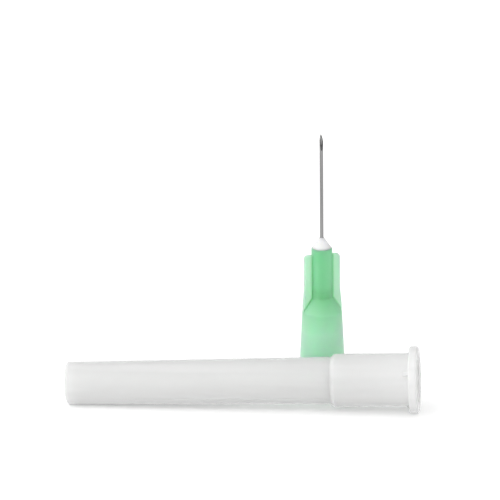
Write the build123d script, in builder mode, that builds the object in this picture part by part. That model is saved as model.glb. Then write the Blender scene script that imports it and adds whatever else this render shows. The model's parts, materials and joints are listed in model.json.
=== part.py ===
from build123d import *
import os
from math import asin, atan2, cos, degrees, hypot, radians, sin

# A hypodermic needle: a ground steel tube bonded into a moulded hub, with its sheath taken off and
# lying beside it. Lengths are in millimetres and angles in degrees. The origin is the centre of
# the hub's open base, on the needle's axis. +Z runs up the needle to its point. +X runs along the
# sheath from its closed end to its mouth.

# Cannula: drawn stainless steel tube with a lancet point
tube_diameter = 0.51
tube_bore = 0.26
tip_height = 37.3
bevel_length = 2.35
point_setback = 0.25
side_grind_turn = 32.0
side_grind_angle = 18.0

# How far the needle is turned about its axis: its fins and lugs from the XZ plane, and its point
# from the YZ plane
needle_turn = 20.0

# Hub: outside
hub_length = 20.5
base_diameter = 6.7
base_chamfer = 0.15
shoulder_diameter = 5.66
shoulder_height = 11.1
shoulder_round = 0.6
column_diameter = 2.96
column_height = 13.2
rim_chamfer = 0.12
fin_thickness = 0.6
fin_span = 5.18
fin_top_height = 19.5
fin_corner = 0.45
fin_flare_height = 14.6
fin_flare_foot = 12.0
fin_root = 1.5

# Hub: lock lugs
lug_span = 7.8
lug_chord = 3.5
lug_root_height = 1.05
lug_crest_height = 0.4
lug_sink = 0.3

# Hub: inside
socket_diameter = 4.3
socket_taper = 0.06
socket_depth = 8.6
socket_lead = 0.2
chamber_diameter = 3.1
chamber_end_height = 13.4
chamber_end_diameter = 1.0
flow_hole_diameter = 0.36
tube_seat_height = 14.2
tube_clearance = 0.015
well_diameter = 2.1
well_depth = 1.5

# Adhesive bead
bead_height = 1.55
bead_neck = 0.06

# Sheath
sheath_length = 50.0
sheath_end_diameter = 6.04
sheath_end_round = 0.45
sheath_end_wall = 0.9
sheath_end_bore = 4.7
sheath_end_bore_chamfer = 0.5
sheath_body_length = 37.6
sheath_body_diameter = 6.66
sheath_body_bore = 5.5
sheath_body_bore_length = 35.6
sheath_step_length = 0.5
sheath_mouth_diameter = 7.52
sheath_mouth_bore = 6.4
sheath_mouth_bore_length = 11.1
sheath_mouth_lead = 0.2
sheath_step_round = 0.2
flange_diameter = 9.4
flange_thickness = 1.25
flange_round = 0.25
flange_chamfer = 0.2
gusset_count = 3
gusset_length = 0.75
gusset_drop = 0.15
gusset_thickness = 0.6
spline_count = 6
spline_length = 5.0
spline_height = 0.4
spline_thickness = 0.35

# Where the sheath lies
sheath_closed_end_x = -35.45
sheath_gap = 2.02


def upright_plane(turn):
    """The plane through the needle's axis, turned about it from the XZ plane."""
    angle = radians(turn)
    return Plane(
        origin=(0, 0, 0),
        x_dir=(cos(angle), sin(angle), 0),
        z_dir=(sin(angle), -cos(angle), 0),
    )


# Cannula. The first grind runs flat across the tube, with its far edge above the finished tip.
# The two side grinds then meet in a sharp point on the tube's far wall.
tube_radius = tube_diameter / 2
first_tip_height = tip_height + point_setback
bevel_angle = degrees(atan2(tube_diameter, bevel_length + point_setback))


def grind_plane(height, turn, slope):
    """A ground plane through the tube's far wall. It faces the bevel's side, turned about Z."""
    far = radians(needle_turn + 90)
    facing = radians(needle_turn - 90 + turn)
    rise = radians(slope)
    return Plane(
        origin=(tube_radius * cos(far), tube_radius * sin(far), height),
        z_dir=(cos(facing) * cos(rise), sin(facing) * cos(rise), sin(rise)),
    )


with BuildPart() as cannula:
    with BuildSketch(Plane.XY.offset(tube_seat_height)):
        Circle(tube_radius)
        Circle(tube_bore / 2, mode=Mode.SUBTRACT)
    extrude(amount=first_tip_height - tube_seat_height)
    split(bisect_by=grind_plane(first_tip_height, 0, bevel_angle), keep=Keep.BOTTOM)
    for side in (-1, 1):
        side_grind = grind_plane(tip_height, side * side_grind_turn, side_grind_angle)
        split(bisect_by=side_grind, keep=Keep.BOTTOM)
cannula.part.label = "cannula"

# Hub. The outside is turned solid and gets its fins and lugs, then the inside is cut.
base_radius = base_diameter / 2
shoulder_radius = shoulder_diameter / 2
column_radius = column_diameter / 2
well_radius = well_diameter / 2
tube_hole_radius = tube_radius + tube_clearance
well_bottom_height = hub_length - well_depth
lug_radius = lug_span / 2
lug_arc = 2 * degrees(asin(lug_chord / lug_span))
body_slope = (base_radius - shoulder_radius) / shoulder_height

with BuildPart() as hub:
    with BuildSketch(Plane.XZ):
        with BuildLine():
            FilletPolyline(
                (0, 0),
                (base_radius - base_chamfer, 0),
                (base_radius, base_chamfer),
                (shoulder_radius, shoulder_height),
                (column_radius, column_height),
                (column_radius, hub_length - rim_chamfer),
                (column_radius - rim_chamfer, hub_length),
                (0, hub_length),
                radius=[0, 0, 0, shoulder_round, 0, 0, 0, 0],
                close=True,
            )
        make_face()
    revolve(axis=Axis.Z)

    # Two side fins, cut as one plate through the column. They flare to the shoulder, and the
    # plate's foot is sunk in the grip.
    with BuildSketch(upright_plane(needle_turn)):
        with BuildLine():
            FilletPolyline(
                (-fin_span / 2, fin_top_height),
                (fin_span / 2, fin_top_height),
                (fin_span / 2, fin_flare_height),
                (shoulder_radius, fin_flare_foot),
                (shoulder_radius, shoulder_height - fin_root),
                (-shoulder_radius, shoulder_height - fin_root),
                (-shoulder_radius, fin_flare_foot),
                (-fin_span / 2, fin_flare_height),
                radius=[fin_corner, fin_corner, 0, 0, 0, 0, 0, 0],
                close=True,
            )
        make_face()
    extrude(amount=fin_thickness / 2, both=True)

    # Two lock lugs, thick at the root and thin at the crest
    for turn in (needle_turn, needle_turn + 180):
        with BuildSketch(upright_plane(turn - lug_arc / 2)):
            with BuildLine():
                Polyline(
                    (base_radius - lug_sink, 0),
                    (lug_radius, 0),
                    (lug_radius, lug_crest_height),
                    (base_radius - body_slope * lug_root_height, lug_root_height),
                    (base_radius - lug_sink, lug_root_height),
                    close=True,
                )
            make_face()
        revolve(axis=Axis.Z, revolution_arc=lug_arc)

    # Taper socket, narrowing chamber, flow hole, tube hole and glue well
    with BuildSketch(Plane.XZ):
        with BuildLine():
            socket_mouth_radius = socket_diameter / 2
            Polyline(
                (0, 0),
                (socket_mouth_radius + socket_lead, 0),
                (socket_mouth_radius - socket_taper * socket_lead / 2, socket_lead),
                (socket_mouth_radius - socket_taper * socket_depth / 2, socket_depth),
                (chamber_diameter / 2, socket_depth),
                (chamber_end_diameter / 2, chamber_end_height),
                (flow_hole_diameter / 2, chamber_end_height),
                (flow_hole_diameter / 2, tube_seat_height),
                (tube_hole_radius, tube_seat_height),
                (tube_hole_radius, well_bottom_height),
                (well_radius, hub_length),
                (0, hub_length),
                close=True,
            )
        make_face()
    revolve(axis=Axis.Z, mode=Mode.SUBTRACT)
hub.part.label = "hub"

# Adhesive. It fills the glue well round the tube and stands over the rim as a cone.
with BuildPart() as adhesive:
    with BuildSketch(Plane.XZ):
        with BuildLine():
            Polyline(
                (tube_radius, well_bottom_height),
                (tube_hole_radius, well_bottom_height),
                (well_radius, hub_length),
                (column_radius - rim_chamfer, hub_length),
                (tube_radius + bead_neck, hub_length + bead_height),
                (tube_radius, hub_length + bead_height),
                close=True,
            )
        make_face()
    revolve(axis=Axis.Z)
adhesive.part.label = "adhesive"

# Sheath. It lies on the round of its closed end and on the rounded back edge of its flange, so
# its axis climbs towards the mouth. Each of the two rounds is a circle in the lower half section,
# and both circles touch the ground.
end_radius = sheath_end_diameter / 2
body_radius = sheath_body_diameter / 2
mouth_radius = sheath_mouth_diameter / 2
flange_radius = flange_diameter / 2
flange_back = sheath_length - flange_thickness
flange_edge_round = min(flange_round, (flange_radius - mouth_radius) / 2)
step_end = sheath_body_length + sheath_step_length
end_centre_station = sheath_end_round
end_centre_radius = (
    end_radius
    + (body_radius - end_radius) * sheath_end_round / sheath_body_length
    - sheath_end_round
)
flange_centre_station = flange_back + flange_edge_round
flange_centre_radius = flange_radius - flange_edge_round
run = flange_centre_station - end_centre_station
rise = flange_centre_radius - end_centre_radius
lean = atan2(rise, run) + asin((flange_edge_round - sheath_end_round) / hypot(run, rise))
closed_end_height = (
    sheath_end_round + end_centre_radius * cos(lean) - end_centre_station * sin(lean)
)
sheath_offset = lug_radius + sheath_gap + flange_radius
sheath_origin = Vector(sheath_closed_end_x, -sheath_offset, closed_end_height)
sheath_direction = Vector(cos(lean), 0, sin(lean))
sheath_axis = Axis(sheath_origin, sheath_direction)


def sheath_plane(turn):
    """A plane through the sheath's axis. Its y axis points down at 0 and turns about the axis."""
    angle = radians(turn)
    down = Vector(sin(lean), 0, -cos(lean))
    across = sheath_direction.cross(down)
    outward = down * cos(angle) + across * sin(angle)
    return Plane(
        origin=sheath_origin,
        x_dir=sheath_direction,
        z_dir=sheath_direction.cross(outward),
    )


with BuildPart() as sheath:
    with BuildSketch(sheath_plane(0)):
        with BuildLine():
            mouth_bore_radius = sheath_mouth_bore / 2
            body_bore_radius = sheath_body_bore / 2
            end_bore_radius = sheath_end_bore / 2
            FilletPolyline(
                (0, 0),
                (0, end_radius),
                (sheath_body_length, body_radius),
                (step_end, mouth_radius),
                (flange_back, mouth_radius),
                (flange_back, flange_radius),
                (sheath_length - flange_chamfer, flange_radius),
                (sheath_length, flange_radius - flange_chamfer),
                (sheath_length, mouth_bore_radius + sheath_mouth_lead),
                (sheath_length - sheath_mouth_lead, mouth_bore_radius),
                (sheath_length - sheath_mouth_bore_length, mouth_bore_radius),
                (sheath_body_bore_length, body_bore_radius),
                (sheath_end_wall + sheath_end_bore_chamfer, end_bore_radius),
                (sheath_end_wall, end_bore_radius - sheath_end_bore_chamfer),
                (sheath_end_wall, 0),
                radius=[
                    0,
                    sheath_end_round,
                    0,
                    sheath_step_round,
                    0,
                    flange_edge_round,
                    0,
                    0,
                    0,
                    0,
                    0,
                    0,
                    0,
                    0,
                    0,
                ],
                close=True,
            )
        make_face()
    revolve(axis=sheath_axis)

    # Gussets that stiffen the back of the flange, one of them underneath
    for index in range(gusset_count):
        with BuildSketch(sheath_plane(360 * index / gusset_count)):
            gusset_foot = (mouth_radius + mouth_bore_radius) / 2
            gusset_top = flange_radius - gusset_drop
            flange_middle = flange_back + flange_thickness / 2
            with BuildLine():
                Polyline(
                    (flange_back - gusset_length, mouth_radius),
                    (flange_back, gusset_top),
                    (flange_middle, gusset_top),
                    (flange_middle, gusset_foot),
                    (flange_back - gusset_length, gusset_foot),
                    close=True,
                )
            make_face()
        extrude(amount=gusset_thickness / 2, both=True)

    # Splines at the wide end of the body's bore, which turn the hub by its fins. Each has a
    # sloped lead that runs into the wall before the bore widens.
    for index in range(spline_count):
        with BuildSketch(sheath_plane(360 * (index + 0.5) / spline_count)):
            spline_crest = body_bore_radius - spline_height
            spline_foot = (body_radius + body_bore_radius) / 2
            spline_start = sheath_body_bore_length - spline_length
            spline_lead = spline_foot - spline_crest
            with BuildLine():
                Polyline(
                    (spline_start, spline_crest),
                    (sheath_body_bore_length - spline_lead, spline_crest),
                    (sheath_body_bore_length, spline_foot),
                    (spline_start, spline_foot),
                    close=True,
                )
            make_face()
        extrude(amount=spline_thickness / 2, both=True)
sheath.part.label = "sheath"

os.makedirs("parts", exist_ok=True)
for piece in (cannula, hub, adhesive, sheath):
    export_step(piece.part, f"parts/{piece.part.label}.step")
    print(piece.part.label, round(piece.part.volume, 4), piece.part.bounding_box())
print("sheath lean", round(degrees(lean), 3), "degrees")
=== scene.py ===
import json
import math

import bmesh
import bpy
from mathutils import Matrix, Vector


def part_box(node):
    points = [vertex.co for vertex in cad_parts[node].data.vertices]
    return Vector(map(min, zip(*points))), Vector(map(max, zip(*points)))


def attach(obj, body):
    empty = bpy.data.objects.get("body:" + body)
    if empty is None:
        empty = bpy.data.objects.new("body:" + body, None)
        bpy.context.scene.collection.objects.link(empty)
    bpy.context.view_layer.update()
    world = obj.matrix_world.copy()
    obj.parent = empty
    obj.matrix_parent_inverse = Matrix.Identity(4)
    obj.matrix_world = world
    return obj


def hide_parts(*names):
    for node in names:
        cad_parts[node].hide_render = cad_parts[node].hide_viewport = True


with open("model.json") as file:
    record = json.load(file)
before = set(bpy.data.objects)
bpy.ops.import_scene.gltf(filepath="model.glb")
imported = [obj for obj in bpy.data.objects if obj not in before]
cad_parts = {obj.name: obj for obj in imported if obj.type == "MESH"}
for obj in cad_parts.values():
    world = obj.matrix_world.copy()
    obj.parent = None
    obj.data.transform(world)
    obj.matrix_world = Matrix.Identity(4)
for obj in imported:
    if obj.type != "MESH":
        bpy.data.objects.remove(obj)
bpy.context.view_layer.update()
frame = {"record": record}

# Shapes are modelled in millimetres and scaled to metres when each piece is finished.
MM = 0.001


def millimetres(corner):
    """A point of the frame, in millimetres."""
    return Vector(corner) / MM


# Sizes from the frame
tube_low, tube_high = (millimetres(corner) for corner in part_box("cannula"))
bead_low, bead_high = (millimetres(corner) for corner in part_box("adhesive"))
hub_high = millimetres(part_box("hub")[1])
mounts = {mount["name"]: mount for mount in frame["record"]["mounts"]}
sheath_point = millimetres(mounts["sheath_mouth"]["pos_m"])
sheath_direction = Vector(mounts["sheath_mouth"]["axis"]).normalized()

# Cannula
TUBE_RADIUS = tube_high.x
TUBE_BORE_RADIUS = 0.13
TUBE_BOTTOM = tube_low.z
TIP_HEIGHT = tube_high.z
BEVEL_LENGTH = 2.35
POINT_SETBACK = 0.25
SIDE_GRIND_TURN = math.radians(32)
SIDE_GRIND_ANGLE = math.radians(18)
GRIND_BLOCK_SIZE = 6.0

# The tube's mesh has a ring of points this far above its lower end and below its bevel
TUBE_END_RING = 1.0

# The fins, the lugs and the point are turned this far about the needle's axis
NEEDLE_TURN = math.radians(20)

# Hub outside
HUB_LENGTH = hub_high.z
BASE_RADIUS = 3.35
BASE_CHAMFER = 0.15
SHOULDER_RADIUS = 2.83
SHOULDER_HEIGHT = 11.1
SHOULDER_ROUND = 0.6
COLUMN_RADIUS = 1.48
COLUMN_HEIGHT = 13.2
RIM_CHAMFER = 0.12
FIN_THICKNESS = 0.6
FIN_REACH = 2.59
FIN_TOP_HEIGHT = 19.5
FIN_CORNER = 0.45
FIN_FLARE_HEIGHT = 14.6
FIN_FLARE_FOOT = 12.0
FIN_ROOT = 1.5
FIN_EDGE = 0.07
LUG_REACH = hub_high.x
LUG_CHORD = 3.5
LUG_ROOT_HEIGHT = 1.05
LUG_CREST_HEIGHT = 0.4
LUG_SINK = 0.3

# Hub inside
SOCKET_RADIUS = 2.15
SOCKET_TAPER = 0.03
SOCKET_DEPTH = 8.6
SOCKET_LEAD = 0.2
CHAMBER_RADIUS = 1.55
CHAMBER_END_HEIGHT = 13.4
CHAMBER_END_RADIUS = 0.5
FLOW_HOLE_RADIUS = 0.18
TUBE_HOLE_RADIUS = 0.27
WELL_RADIUS = 1.05
WELL_BOTTOM = bead_low.z
CUT_OVERRUN = 1.0

# Hub colour, with painted light and shade in it: how wide its bands blend, and where beyond the
# cone and the column the fins' paler green, painted light, starts and is full
SOCKET_BLEND = 0.3
TUBE_BLEND = 0.8
FIN_PAINTED_LIGHT_START = 0.02
FIN_PAINTED_LIGHT_FULL = 0.3

# Adhesive bead. Its faces stay a hair clear of the hub's and the tube's, so that none coincide.
BEAD_TOP = bead_high.z
BEAD_NECK = 0.06
BEAD_CLEARANCE = 0.005

# Sheath, along its own axis from the closed end
SHEATH_LENGTH = 50.0
SHEATH_END_RADIUS = 3.02
SHEATH_END_ROUND = 0.45
SHEATH_END_WALL = 0.9
SHEATH_END_BORE = 2.35
SHEATH_END_BORE_CHAMFER = 0.5
SHEATH_BODY_LENGTH = 37.6
SHEATH_BODY_RADIUS = 3.33
SHEATH_BODY_BORE = 2.75
SHEATH_BODY_BORE_LENGTH = 35.6
SHEATH_STEP_END = 38.1
SHEATH_MOUTH_RADIUS = 3.76
SHEATH_MOUTH_BORE = 3.2
SHEATH_MOUTH_BORE_START = 38.9
SHEATH_MOUTH_LEAD = 0.2
SHEATH_MOUTH_MIDDLE = (SHEATH_MOUTH_BORE_START + SHEATH_LENGTH - SHEATH_MOUTH_LEAD) / 2
SHEATH_STEP_ROUND = 0.2
FLANGE_RADIUS = 4.7
FLANGE_THICKNESS = 1.25
FLANGE_ROUND = 0.25
FLANGE_CHAMFER = 0.2
GUSSET_COUNT = 3
GUSSET_LENGTH = 0.75
GUSSET_DROP = 0.15
GUSSET_THICKNESS = 0.6
SPLINE_COUNT = 6
SPLINE_LENGTH = 5.0
SPLINE_HEIGHT = 0.4
SPLINE_THICKNESS = 0.35

# Fineness of the meshes
ROUND_STEPS = 8
EDGE_STEPS = 3
TURNS = 144
TUBE_TURNS = 72
BEAD_TURNS = 96
LUG_STEPS = 20
SHARP_ANGLE = math.radians(28)
MERGE_DISTANCE = 1e-5
NEAR_ZERO = 1e-6
SAME_DIRECTION = 0.999


def rounded(corners):
    """A closed outline from (x, y, radius) corners, each rounded by an arc."""
    outline = []
    count = len(corners)
    for index, (x, y, radius) in enumerate(corners):
        corner = Vector((x, y))
        if radius == 0:
            outline.append(corner)
            continue
        before = (Vector(corners[index - 1][:2]) - corner).normalized()
        after = (Vector(corners[(index + 1) % count][:2]) - corner).normalized()
        half = before.angle(after) / 2
        centre = corner + (before + after).normalized() * (radius / math.sin(half))
        start = corner + before * (radius / math.tan(half)) - centre
        end = corner + after * (radius / math.tan(half)) - centre
        sweep = start.angle_signed(end)
        for step in range(ROUND_STEPS + 1):
            arm = start.copy()
            arm.rotate(Matrix.Rotation(-sweep * step / ROUND_STEPS, 2))
            outline.append(centre + arm)
    return outline


def new_object(name, mesh_maker):
    """A new object whose mesh is filled by mesh_maker."""
    made = bmesh.new()
    mesh_maker(made)
    bmesh.ops.remove_doubles(made, verts=made.verts, dist=MERGE_DISTANCE)
    bmesh.ops.recalc_face_normals(made, faces=made.faces)
    mesh = bpy.data.meshes.new(name)
    made.to_mesh(mesh)
    made.free()
    obj = bpy.data.objects.new(name, mesh)
    bpy.context.scene.collection.objects.link(obj)
    return obj


def around(radius, angle, height):
    """A point at a radius and an angle about Z."""
    return radius * math.cos(angle), radius * math.sin(angle), height


def lathe(name, outline, turns=TURNS):
    """An outline of (radius, height) points turned about Z."""
    def fill(made):
        rings = []
        for radius, height in outline:
            if radius < NEAR_ZERO:
                rings.append([made.verts.new((0, 0, height))] * turns)
                continue
            angles = [2 * math.pi * turn / turns for turn in range(turns)]
            rings.append([made.verts.new(around(radius, angle, height)) for angle in angles])
        for ring, next_ring in zip(rings, rings[1:] + rings[:1]):
            for turn in range(turns):
                following = (turn + 1) % turns
                loop = [ring[turn], ring[following], next_ring[following], next_ring[turn]]
                corners = list(dict.fromkeys(loop))
                if len(corners) > 2:
                    made.faces.new(corners)
    return new_object(name, fill)


def sector(name, outline, start, end):
    """An outline of (radius, height) points swept about Z between two angles."""
    def fill(made):
        slices = []
        for step in range(LUG_STEPS + 1):
            angle = start + (end - start) * step / LUG_STEPS
            points = [around(radius, angle, height) for radius, height in outline]
            slices.append([made.verts.new(point) for point in points])
        for cut, next_cut in zip(slices, slices[1:]):
            for index in range(len(outline)):
                other = (index + 1) % len(outline)
                made.faces.new([cut[index], cut[other], next_cut[other], next_cut[index]])
        made.faces.new(slices[0])
        made.faces.new(slices[-1])
    return new_object(name, fill)


def plate(name, outline, thickness, edge=0.0):
    """An outline in the XZ plane, thickened both ways along Y, with its edges rounded."""
    def fill(made):
        face = made.faces.new([made.verts.new((x, -thickness / 2, z)) for x, z in outline])
        pushed = bmesh.ops.extrude_face_region(made, geom=[face])
        moved = [v for v in pushed["geom"] if isinstance(v, bmesh.types.BMVert)]
        bmesh.ops.translate(made, verts=moved, vec=(0, thickness, 0))
        if edge:
            rims = [e for e in made.edges if abs(e.verts[0].co.y - e.verts[1].co.y) < NEAR_ZERO]
            bmesh.ops.bevel(
                made, geom=rims, offset=edge, segments=EDGE_STEPS, affect="EDGES", profile=0.5
            )
    return new_object(name, fill)


def move(obj, matrix):
    """Bakes a matrix into an object's mesh."""
    obj.data.transform(matrix)
    obj.data.update()
    return obj


def combine(target, tool, operation):
    """Joins target to tool or cuts it with tool, by a boolean operation, and removes tool."""
    modifier = target.modifiers.new("combine", "BOOLEAN")
    modifier.operation = operation
    modifier.solver = "EXACT"
    modifier.object = tool
    bpy.context.view_layer.update()
    shaped = target.evaluated_get(bpy.context.evaluated_depsgraph_get())
    mesh = bpy.data.meshes.new_from_object(shaped)
    target.modifiers.clear()
    target.data = mesh
    bpy.data.objects.remove(tool)


def join_plates(target, name, outline, thickness, count, offset=0.0):
    """Joins plates to target, evenly spaced about Z, turned by offset times their spacing."""
    for index in range(count):
        turn = Matrix.Rotation(2 * math.pi * (index + offset) / count, 4, "Z")
        combine(target, move(plate(name, outline, thickness), turn), "UNION")


def shade(obj):
    """Smooth shading that keeps edges above SHARP_ANGLE sharp."""
    made = bmesh.new()
    made.from_mesh(obj.data)
    for face in made.faces:
        face.smooth = True
    for edge in made.edges:
        edge.smooth = edge.calc_face_angle(0) < SHARP_ANGLE
    made.to_mesh(obj.data)
    made.free()


def finish_piece(obj, node, material):
    """Scales a piece to metres, dresses it and puts it in its CAD node's place."""
    move(obj, Matrix.Scale(MM, 4))
    shade(obj)
    weighted = obj.modifiers.new("weighted normals", "WEIGHTED_NORMAL")
    weighted.keep_sharp = True
    obj.data.materials.clear()
    obj.data.materials.append(material)
    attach(obj, "root")
    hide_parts(node)


def set_inputs(node, **values):
    """Sets a node's sockets, named with underscores for spaces."""
    for name, value in values.items():
        node.inputs[name.replace("_", " ")].default_value = value


def remap(tree, source, low, high, new_low, new_high):
    """A source's range from low to high, spread from new_low to new_high."""
    node = tree.nodes.new("ShaderNodeMapRange")
    set_inputs(node, From_Min=low, From_Max=high, To_Min=new_low, To_Max=new_high)
    tree.links.new(source, node.inputs["Value"])
    return node.outputs["Result"]


def join(tree, operation, first, second):
    """A math node on two sockets or numbers."""
    node = tree.nodes.new("ShaderNodeMath")
    node.operation = operation
    for socket, value in zip(node.inputs, (first, second)):
        if isinstance(value, (int, float)):
            socket.default_value = value
        else:
            tree.links.new(value, socket)
    return node.outputs["Value"]


# Most of a noise lies between these levels
NOISE_LOW = 0.3
NOISE_HIGH = 0.7


class Shader:
    """A material's node tree, with short calls for the nodes used here. Positions are the
    object's own, in metres."""

    def __init__(self, name):
        self.material = bpy.data.materials.new(name)
        self.material.use_nodes = True
        self.tree = self.material.node_tree
        self.nodes = self.tree.nodes
        self.links = self.tree.links
        self.surface = self.nodes["Principled BSDF"]
        self.position = self.nodes.new("ShaderNodeTexCoord").outputs["Object"]

    def set(self, **values):
        """Sets sockets of the surface shader."""
        set_inputs(self.surface, **values)

    def link(self, source, name):
        """Links a source to a socket of the surface shader."""
        self.links.new(source, self.surface.inputs[name])

    def scaled(self, scale):
        """The position times a scale for each axis."""
        node = self.nodes.new("ShaderNodeMapping")
        node.inputs["Scale"].default_value = scale
        self.links.new(self.position, node.inputs["Vector"])
        return node.outputs["Vector"]

    def noise(self, scale, detail=3.0):
        """A noise with about so many grains to the metre along each axis."""
        node = self.nodes.new("ShaderNodeTexNoise")
        set_inputs(node, Scale=1.0, Detail=detail)
        self.links.new(self.scaled(scale), node.inputs["Vector"])
        return node.outputs["Fac"]

    def remap(self, source, low, high, new_low, new_high):
        return remap(self.tree, source, low, high, new_low, new_high)

    def ramp(self, source, stops):
        """A colour ramp of (place, colour) stops."""
        node = self.nodes.new("ShaderNodeValToRGB")
        elements = node.color_ramp.elements
        while len(elements) < len(stops):
            elements.new(0.5)
        for element, (place, colour) in zip(elements, stops):
            element.position = place
            element.color = (*colour, 1)
        self.links.new(source, node.inputs["Fac"])
        return node.outputs["Color"]

    def colour(self, noise, stops):
        """Colours the surface by a noise."""
        self.link(self.ramp(noise, stops), "Base Color")

    def roughness(self, noise, low, high):
        """Roughens the surface by a noise."""
        self.link(self.remap(noise, NOISE_LOW, NOISE_HIGH, low, high), "Roughness")

    def math(self, operation, first, second):
        return join(self.tree, operation, first, second)

    def mix(self, factor, first, second):
        """A blend of two colours. The node's colour sockets go by number, because its sockets
        for numbers have the same names."""
        node = self.nodes.new("ShaderNodeMix")
        node.data_type = "RGBA"
        self.links.new(factor, node.inputs["Factor"])
        self.links.new(first, node.inputs[6])
        self.links.new(second, node.inputs[7])
        return node.outputs[2]

    def height(self):
        """The height above the origin."""
        node = self.nodes.new("ShaderNodeSeparateXYZ")
        self.links.new(self.position, node.inputs[0])
        return node.outputs["Z"]

    def distance_from_axis(self):
        """The distance from the Z axis."""
        node = self.nodes.new("ShaderNodeVectorMath")
        node.operation = "LENGTH"
        self.links.new(self.scaled((1, 1, 0)), node.inputs[0])
        return node.outputs["Value"]

    def bump(self, height, distance):
        """Bumps that are a distance deep, in metres."""
        node = self.nodes.new("ShaderNodeBump")
        set_inputs(node, Distance=distance, Strength=1.0)
        self.links.new(height, node.inputs["Height"])
        self.link(node.outputs["Normal"], "Normal")


def drawn_steel():
    """Drawn stainless tube: fine lines along its length and slight mottling."""
    shader = Shader("drawn_steel")
    streaks = shader.noise((5000, 5000, 90), 4)
    shader.colour(streaks, [(NOISE_LOW, (0.28, 0.28, 0.28)), (NOISE_HIGH, (0.36, 0.36, 0.36))])
    shader.roughness(streaks, 0.24, 0.36)
    shader.bump(streaks, 1e-6)
    shader.set(Metallic=1.0)
    return shader.material


def ground_steel_painted_dark():
    """The point's ground facets, with grinding marks across the tube, in steel coloured much
    darker than the tube's: painted shade.
    """
    shader = Shader("ground_steel_painted_dark")
    marks = shader.noise((700, 700, 16000), 3)
    # Painted shade: the facets' steel is coloured far darker than the tube's
    shader.colour(marks, [(NOISE_LOW, (0.1, 0.1, 0.1)), (NOISE_HIGH, (0.145, 0.145, 0.145))])
    shader.roughness(marks, 0.16, 0.3)
    shader.bump(marks, 5e-7)
    shader.set(Metallic=1.0)
    return shader.material


POLYPROPYLENE_IOR = 1.49


def green_polypropylene():
    """Translucent green plastic, whose colour carries painted light and shade. It is painted
    paler where the moulding is thin, in the socket and in the fins, for light shining through
    them. It is painted darker up the shoulder, deepest where the moulding is solid, just below
    the tube."""
    shader = Shader("green_polypropylene")
    height = shader.height()
    # Painted light and shade by height: pale low on the socket, darker up the shoulder and
    # column
    wall_green_with_painted_light = shader.ramp(shader.remap(height, 0, HUB_LENGTH * MM, 0, 1), [
        (0.0, (0.57, 0.965, 0.70)),
        ((SOCKET_DEPTH - SOCKET_BLEND) / HUB_LENGTH, (0.57, 0.965, 0.70)),
        ((SOCKET_DEPTH + SOCKET_BLEND) / HUB_LENGTH, (0.52, 0.93, 0.655)),
        (SHOULDER_HEIGHT / HUB_LENGTH, (0.40, 0.80, 0.52)),
        (CHAMBER_END_HEIGHT / HUB_LENGTH, (0.24, 0.68, 0.34)),
        (TUBE_BOTTOM / HUB_LENGTH, (0.22, 0.65, 0.32)),
        ((TUBE_BOTTOM + TUBE_BLEND) / HUB_LENGTH, (0.27, 0.73, 0.39)),
        (1.0, (0.28, 0.75, 0.41)),
    ])
    cloud = shader.noise((300, 300, 180))
    # Painted light: the fins are coloured paler, with a random cloud in their tone
    fin_green_with_painted_light = shader.ramp(cloud, [(0.35, (0.56, 0.87, 0.64)), (0.65, (0.60, 0.90, 0.68))])

    # The fins are what lies beyond the cone and the column
    slope = (SHOULDER_RADIUS - COLUMN_RADIUS) / (COLUMN_HEIGHT - SHOULDER_HEIGHT)
    drop = shader.math("MULTIPLY", height, slope)
    cone = shader.math("SUBTRACT", (SHOULDER_RADIUS + slope * SHOULDER_HEIGHT) * MM, drop)
    solid = shader.math("MAXIMUM", cone, COLUMN_RADIUS * MM)
    beyond = shader.math("SUBTRACT", shader.distance_from_axis(), solid)
    fin_share = shader.remap(beyond, FIN_PAINTED_LIGHT_START * MM, FIN_PAINTED_LIGHT_FULL * MM, 0, 1)
    shader.link(shader.mix(fin_share, wall_green_with_painted_light, fin_green_with_painted_light), "Base Color")

    fine = shader.noise((1500, 1500, 700))
    shader.roughness(fine, 0.28, 0.38)
    shader.bump(fine, 1e-6)
    shader.set(IOR=POLYPROPYLENE_IOR, Transmission_Weight=0.35)
    shader.set(Subsurface_Weight=1.0, Subsurface_Scale=0.001, Subsurface_Radius=(0.5, 1.2, 0.7))
    return shader.material


def resin():
    """Cured resin, milky and slightly clouded."""
    shader = Shader("resin")
    cloud = shader.noise((700, 700, 700))
    shader.colour(cloud, [(NOISE_LOW, (0.93, 0.93, 0.92)), (NOISE_HIGH, (0.97, 0.97, 0.96))])
    shader.roughness(cloud, 0.12, 0.22)
    shader.bump(cloud, 4e-6)
    shader.set(IOR=1.5, Transmission_Weight=0.2)
    shader.set(Subsurface_Weight=1.0, Subsurface_Scale=0.0005, Subsurface_Radius=(1.0, 1.0, 0.9))
    return shader.material


def clear_polypropylene():
    """Unpigmented plastic, milky and half see-through, with faint streaks along its length."""
    shader = Shader("clear_polypropylene")
    streaks = shader.noise((12, 400, 400), 1)
    shader.colour(streaks, [(0.35, (0.88, 0.883, 0.877)), (0.6, (0.995, 0.997, 0.99))])
    shader.set(Roughness=0.22, IOR=POLYPROPYLENE_IOR, Transmission_Weight=0.35)
    shader.set(Subsurface_Weight=1.0, Subsurface_Scale=0.001, Subsurface_Radius=(1.2, 1.2, 1.2))
    return shader.material


def grind_block(normal, origin):
    """A block that fills the ground side of a plane."""
    block = new_object("grind", lambda made: bmesh.ops.create_cube(made, size=GRIND_BLOCK_SIZE))
    turn = Vector((0, 0, 1)).rotation_difference(normal).to_matrix().to_4x4()
    lift = Matrix.Translation((0, 0, GRIND_BLOCK_SIZE / 2))
    return move(block, Matrix.Translation(origin) @ turn @ lift)


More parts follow.
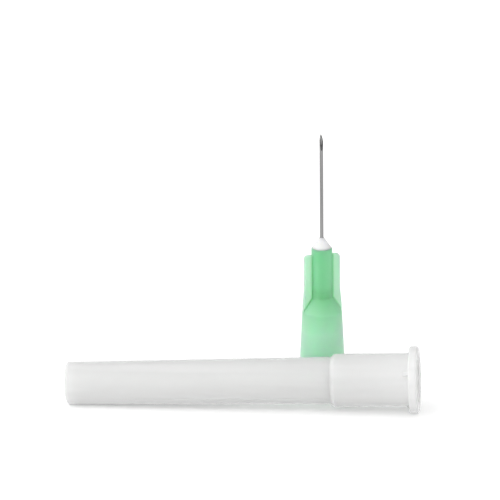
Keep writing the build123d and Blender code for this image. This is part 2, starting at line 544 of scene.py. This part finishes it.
def make_cannula():
    """A tube whose point has three facets: the bevel, and a grind on each side of its tip."""
    top = TIP_HEIGHT + POINT_SETBACK
    bevel_start = top - BEVEL_LENGTH
    stations = [TUBE_BOTTOM, TUBE_BOTTOM + TUBE_END_RING, bevel_start - TUBE_END_RING, top]
    outer = [(TUBE_RADIUS, height) for height in stations]
    inner = [(TUBE_BORE_RADIUS, height) for height in reversed(stations)]
    tube = lathe("cannula_tube", outer + inner, TUBE_TURNS)

    bevel_angle = math.atan2(2 * TUBE_RADIUS, BEVEL_LENGTH + POINT_SETBACK)
    needle_turn = Matrix.Rotation(NEEDLE_TURN, 3, "Z")
    ground = []
    for turn, angle, height in (
        (0, bevel_angle, top),
        (-SIDE_GRIND_TURN, SIDE_GRIND_ANGLE, TIP_HEIGHT),
        (SIDE_GRIND_TURN, SIDE_GRIND_ANGLE, TIP_HEIGHT),
    ):
        across = math.sin(turn) * math.cos(angle)
        along = -math.cos(turn) * math.cos(angle)
        normal = needle_turn @ Vector((across, along, math.sin(angle)))
        origin = needle_turn @ Vector((0, TUBE_RADIUS, height))
        combine(tube, grind_block(normal, origin), "DIFFERENCE")
        ground.append(normal)

    finish_piece(tube, "cannula", drawn_steel())
    # The ground facets take the steel that is painted darker, for shade
    tube.data.materials.append(ground_steel_painted_dark())
    for face in tube.data.polygons:
        if any(face.normal.dot(normal) > SAME_DIRECTION for normal in ground):
            face.material_index = 1


def make_hub():
    """The moulding turned about Z, with two fins and two lock lugs, cut out by its inside."""
    outside = rounded([
        (0, 0, 0),
        (BASE_RADIUS - BASE_CHAMFER, 0, 0),
        (BASE_RADIUS, BASE_CHAMFER, 0),
        (SHOULDER_RADIUS, SHOULDER_HEIGHT, SHOULDER_ROUND),
        (COLUMN_RADIUS, COLUMN_HEIGHT, 0),
        (COLUMN_RADIUS, HUB_LENGTH - RIM_CHAMFER, 0),
        (COLUMN_RADIUS - RIM_CHAMFER, HUB_LENGTH, 0),
        (0, HUB_LENGTH, 0),
    ])
    hub = lathe("hub_moulding", outside)
    fins = plate("fins", rounded([
        (-FIN_REACH, FIN_TOP_HEIGHT, FIN_CORNER),
        (FIN_REACH, FIN_TOP_HEIGHT, FIN_CORNER),
        (FIN_REACH, FIN_FLARE_HEIGHT, 0),
        (SHOULDER_RADIUS, FIN_FLARE_FOOT, 0),
        (SHOULDER_RADIUS, SHOULDER_HEIGHT - FIN_ROOT, 0),
        (-SHOULDER_RADIUS, SHOULDER_HEIGHT - FIN_ROOT, 0),
        (-SHOULDER_RADIUS, FIN_FLARE_FOOT, 0),
        (-FIN_REACH, FIN_FLARE_HEIGHT, 0),
    ]), FIN_THICKNESS, FIN_EDGE)
    combine(hub, move(fins, Matrix.Rotation(NEEDLE_TURN, 4, "Z")), "UNION")

    body_slope = (BASE_RADIUS - SHOULDER_RADIUS) / SHOULDER_HEIGHT
    lug_profile = [
        (BASE_RADIUS - LUG_SINK, 0),
        (LUG_REACH, 0),
        (LUG_REACH, LUG_CREST_HEIGHT),
        (BASE_RADIUS - body_slope * LUG_ROOT_HEIGHT, LUG_ROOT_HEIGHT),
        (BASE_RADIUS - LUG_SINK, LUG_ROOT_HEIGHT),
    ]
    half_arc = math.asin(LUG_CHORD / 2 / LUG_REACH)
    for turn in (NEEDLE_TURN, NEEDLE_TURN + math.pi):
        combine(hub, sector("lug", lug_profile, turn - half_arc, turn + half_arc), "UNION")

    inside = [
        (0, -CUT_OVERRUN),
        (SOCKET_RADIUS + SOCKET_LEAD, -CUT_OVERRUN),
        (SOCKET_RADIUS + SOCKET_LEAD, 0),
        (SOCKET_RADIUS - SOCKET_TAPER * SOCKET_LEAD, SOCKET_LEAD),
        (SOCKET_RADIUS - SOCKET_TAPER * SOCKET_DEPTH, SOCKET_DEPTH),
        (CHAMBER_RADIUS, SOCKET_DEPTH),
        (CHAMBER_END_RADIUS, CHAMBER_END_HEIGHT),
        (FLOW_HOLE_RADIUS, CHAMBER_END_HEIGHT),
        (FLOW_HOLE_RADIUS, TUBE_BOTTOM),
        (TUBE_HOLE_RADIUS, TUBE_BOTTOM),
        (TUBE_HOLE_RADIUS, WELL_BOTTOM),
        (WELL_RADIUS, HUB_LENGTH),
        (WELL_RADIUS, HUB_LENGTH + CUT_OVERRUN),
        (0, HUB_LENGTH + CUT_OVERRUN),
    ]
    combine(hub, lathe("inside", inside), "DIFFERENCE")
    finish_piece(hub, "hub", green_polypropylene())


def make_adhesive():
    """The bead fills the well round the tube and rises up it in a cone."""
    outline = [
        (TUBE_RADIUS + BEAD_CLEARANCE, WELL_BOTTOM + BEAD_CLEARANCE),
        (TUBE_HOLE_RADIUS - BEAD_CLEARANCE, WELL_BOTTOM + BEAD_CLEARANCE),
        (WELL_RADIUS - BEAD_CLEARANCE, HUB_LENGTH + BEAD_CLEARANCE),
        (COLUMN_RADIUS - RIM_CHAMFER, HUB_LENGTH + BEAD_CLEARANCE),
        (TUBE_RADIUS + BEAD_NECK, BEAD_TOP),
        (TUBE_RADIUS + BEAD_CLEARANCE, BEAD_TOP),
    ]
    bead = lathe("adhesive_bead", outline, BEAD_TURNS)
    finish_piece(bead, "adhesive", resin())


def make_sheath():
    """Modelled about Z with its closed end at the origin, then laid in its CAD node's place."""
    back = SHEATH_LENGTH - FLANGE_THICKNESS
    corners = [
        (0, 0, 0),
        (SHEATH_END_RADIUS, 0, SHEATH_END_ROUND),
        (SHEATH_BODY_RADIUS, SHEATH_BODY_LENGTH, 0),
        (SHEATH_MOUTH_RADIUS, SHEATH_STEP_END, SHEATH_STEP_ROUND),
        (SHEATH_MOUTH_RADIUS, back, 0),
        (FLANGE_RADIUS, back, FLANGE_ROUND),
        (FLANGE_RADIUS, SHEATH_LENGTH - FLANGE_CHAMFER, 0),
        (FLANGE_RADIUS - FLANGE_CHAMFER, SHEATH_LENGTH, 0),
        (SHEATH_MOUTH_BORE + SHEATH_MOUTH_LEAD, SHEATH_LENGTH, 0),
        (SHEATH_MOUTH_BORE, SHEATH_LENGTH - SHEATH_MOUTH_LEAD, 0),
        (SHEATH_MOUTH_BORE, SHEATH_MOUTH_BORE_START, 0),
        (SHEATH_BODY_BORE, SHEATH_BODY_BORE_LENGTH, 0),
        (SHEATH_END_BORE, SHEATH_END_WALL + SHEATH_END_BORE_CHAMFER, 0),
        (SHEATH_END_BORE - SHEATH_END_BORE_CHAMFER, SHEATH_END_WALL, 0),
        (0, SHEATH_END_WALL, 0),
    ]
    sheath = lathe("sheath_moulding", rounded(corners))

    gusset_foot = (SHEATH_MOUTH_RADIUS + SHEATH_MOUTH_BORE) / 2
    middle = back + FLANGE_THICKNESS / 2
    gusset = [
        (SHEATH_MOUTH_RADIUS, back - GUSSET_LENGTH),
        (FLANGE_RADIUS - GUSSET_DROP, back),
        (FLANGE_RADIUS - GUSSET_DROP, middle),
        (gusset_foot, middle),
        (gusset_foot, back - GUSSET_LENGTH),
    ]
    join_plates(sheath, "gusset", gusset, GUSSET_THICKNESS, GUSSET_COUNT)

    crest = SHEATH_BODY_BORE - SPLINE_HEIGHT
    foot = (SHEATH_BODY_RADIUS + SHEATH_BODY_BORE) / 2
    start = SHEATH_BODY_BORE_LENGTH - SPLINE_LENGTH
    lead = foot - crest
    spline = [
        (crest, start),
        (crest, SHEATH_BODY_BORE_LENGTH - lead),
        (foot, SHEATH_BODY_BORE_LENGTH),
        (foot, start),
    ]
    join_plates(sheath, "spline", spline, SPLINE_THICKNESS, SPLINE_COUNT, 0.5)

    across = Vector((0, 1, 0))
    down = across.cross(sheath_direction)
    closed_end = sheath_point - sheath_direction * SHEATH_MOUTH_MIDDLE
    place = Matrix((down, across, sheath_direction)).transposed().to_4x4()
    move(sheath, Matrix.Translation(closed_end) @ place)
    finish_piece(sheath, "sheath", clear_polypropylene())


# Studio
WHITE = (1, 1, 1, 1)
FLOOR_COLOUR = (0.92, 0.92, 0.92, 1)
FLOOR_ROUGHNESS = 0.9
FLOOR_SPECULAR = 0.1
FLOOR_GLOW = 0.2
FLOOR_SIZE = 6.0
KEY_PLACE = Vector((-0.3, -0.45, 0.3))
KEY_AIM = Vector((0, 0, 0.01))
KEY_SIZE = 0.3
KEY_WATTS = 0.3
KEY_DIRECTION = Vector((-0.75, -0.66, 0.0)).normalized()
LIGHT_AWAY_FROM_KEY = 0.65
LIGHT_TOWARDS_KEY = 1.45
GLOSS_DIRECTION = Vector((-0.85, -0.5, 0.1)).normalized()
GLOSS_AWAY_FROM_LEFT = 0.3
GLOSS_TOWARDS_LEFT = 2.1


def pale_floor():
    """A white floor that keeps the shadows. Gloss and glass see it plain white."""
    material = bpy.data.materials.new("pale_floor")
    material.use_nodes = True
    material.cycles.emission_sampling = "NONE"
    tree = material.node_tree
    surface = tree.nodes["Principled BSDF"]
    set_inputs(surface, Base_Color=FLOOR_COLOUR, Roughness=FLOOR_ROUGHNESS)
    set_inputs(surface, Specular_IOR_Level=FLOOR_SPECULAR, Emission_Color=WHITE)
    path = tree.nodes.new("ShaderNodeLightPath").outputs
    glow = join(tree, "MULTIPLY", path["Is Camera Ray"], FLOOR_GLOW)
    tree.links.new(glow, surface.inputs["Emission Strength"])
    white = tree.nodes.new("ShaderNodeEmission")
    choice = tree.nodes.new("ShaderNodeMixShader")
    gloss = join(tree, "MAXIMUM", path["Is Glossy Ray"], path["Is Transmission Ray"])
    tree.links.new(gloss, choice.inputs["Fac"])
    tree.links.new(surface.outputs["BSDF"], choice.inputs[1])
    tree.links.new(white.outputs["Emission"], choice.inputs[2])
    tree.links.new(choice.outputs["Shader"], tree.nodes["Material Output"].inputs["Surface"])
    return material


def make_floor():
    half = FLOOR_SIZE / 2

    def fill(made):
        corners = [(-half, -half, 0), (half, -half, 0), (half, half, 0), (-half, half, 0)]
        made.faces.new([made.verts.new(corner) for corner in corners])

    floor = new_object("floor", fill)
    floor.data.materials.append(pale_floor())


def gradient(tree, direction, towards, away_level, towards_level):
    """A level that grows as a direction turns from facing away to facing towards another."""
    along = tree.nodes.new("ShaderNodeVectorMath")
    along.operation = "DOT_PRODUCT"
    along.inputs[1].default_value = towards
    tree.links.new(direction, along.inputs[0])
    return remap(tree, along.outputs["Value"], -1, 1, away_level, towards_level)


def make_world():
    """A white room, lit most from the key's side. The camera and clear plastic see it all white.
    Gloss sees it bright to the left and dim to the right, as the steel tube shows it."""
    world = bpy.data.worlds.new("studio")
    bpy.context.scene.world = world
    world.use_nodes = True
    tree = world.node_tree
    direction = tree.nodes.new("ShaderNodeTexCoord").outputs["Generated"]
    light = gradient(tree, direction, KEY_DIRECTION, LIGHT_AWAY_FROM_KEY, LIGHT_TOWARDS_KEY)
    gloss = gradient(tree, direction, GLOSS_DIRECTION, GLOSS_AWAY_FROM_LEFT, GLOSS_TOWARDS_LEFT)
    path = tree.nodes.new("ShaderNodeLightPath").outputs
    mix = tree.nodes.new("ShaderNodeMix")
    tree.links.new(path["Is Glossy Ray"], mix.inputs["Factor"])
    tree.links.new(light, mix.inputs["A"])
    tree.links.new(gloss, mix.inputs["B"])
    seen = join(tree, "MAXIMUM", path["Is Camera Ray"], path["Is Transmission Ray"])
    strength = join(tree, "MAXIMUM", seen, mix.outputs["Result"])
    background = tree.nodes["Background"]
    background.inputs["Color"].default_value = WHITE
    tree.links.new(strength, background.inputs["Strength"])


def make_key():
    """A soft lamp from the front left that the camera doesn't see."""
    data = bpy.data.lights.new("key", "AREA")
    data.shape = "DISK"
    data.size = KEY_SIZE
    data.energy = KEY_WATTS
    light = bpy.data.objects.new("key", data)
    light.location = KEY_PLACE
    light.rotation_mode = "QUATERNION"
    light.rotation_quaternion = (KEY_AIM - KEY_PLACE).to_track_quat("-Z", "Y")
    light.visible_camera = False
    bpy.context.scene.collection.objects.link(light)


# Camera: a long lens, above the object and slightly to the mouth's side
CAMERA_AZIMUTH = math.radians(5.342)
CAMERA_ELEVATION = math.radians(18)
CAMERA_ROLL = math.radians(0.463)
CAMERA_DISTANCE = 1.0
CAMERA_ACROSS = -0.010195
CAMERA_UP = 0.019256
CAMERA_CLIP = (0.01, 20)
LENS = 504


def make_camera():
    azimuth, elevation = CAMERA_AZIMUTH, CAMERA_ELEVATION
    back = Vector((
        math.sin(azimuth) * math.cos(elevation),
        -math.cos(azimuth) * math.cos(elevation),
        math.sin(elevation),
    ))
    right = Vector((math.cos(azimuth), math.sin(azimuth), 0))
    up = back.cross(right)
    place = right * CAMERA_ACROSS + up * CAMERA_UP + back * CAMERA_DISTANCE
    turned_right = right * math.cos(CAMERA_ROLL) - up * math.sin(CAMERA_ROLL)
    turned_up = right * math.sin(CAMERA_ROLL) + up * math.cos(CAMERA_ROLL)
    data = bpy.data.cameras.new("camera")
    data.lens = LENS
    data.clip_start, data.clip_end = CAMERA_CLIP
    camera = bpy.data.objects.new("camera", data)
    camera.matrix_world = Matrix.Translation(place) @ (
        Matrix((turned_right, turned_up, back)).transposed().to_4x4()
    )
    bpy.context.scene.collection.objects.link(camera)
    bpy.context.scene.camera = camera


make_cannula()
make_hub()
make_adhesive()
make_sheath()
make_floor()
make_world()
make_key()
make_camera()
bpy.context.scene.view_settings.view_transform = "Standard"
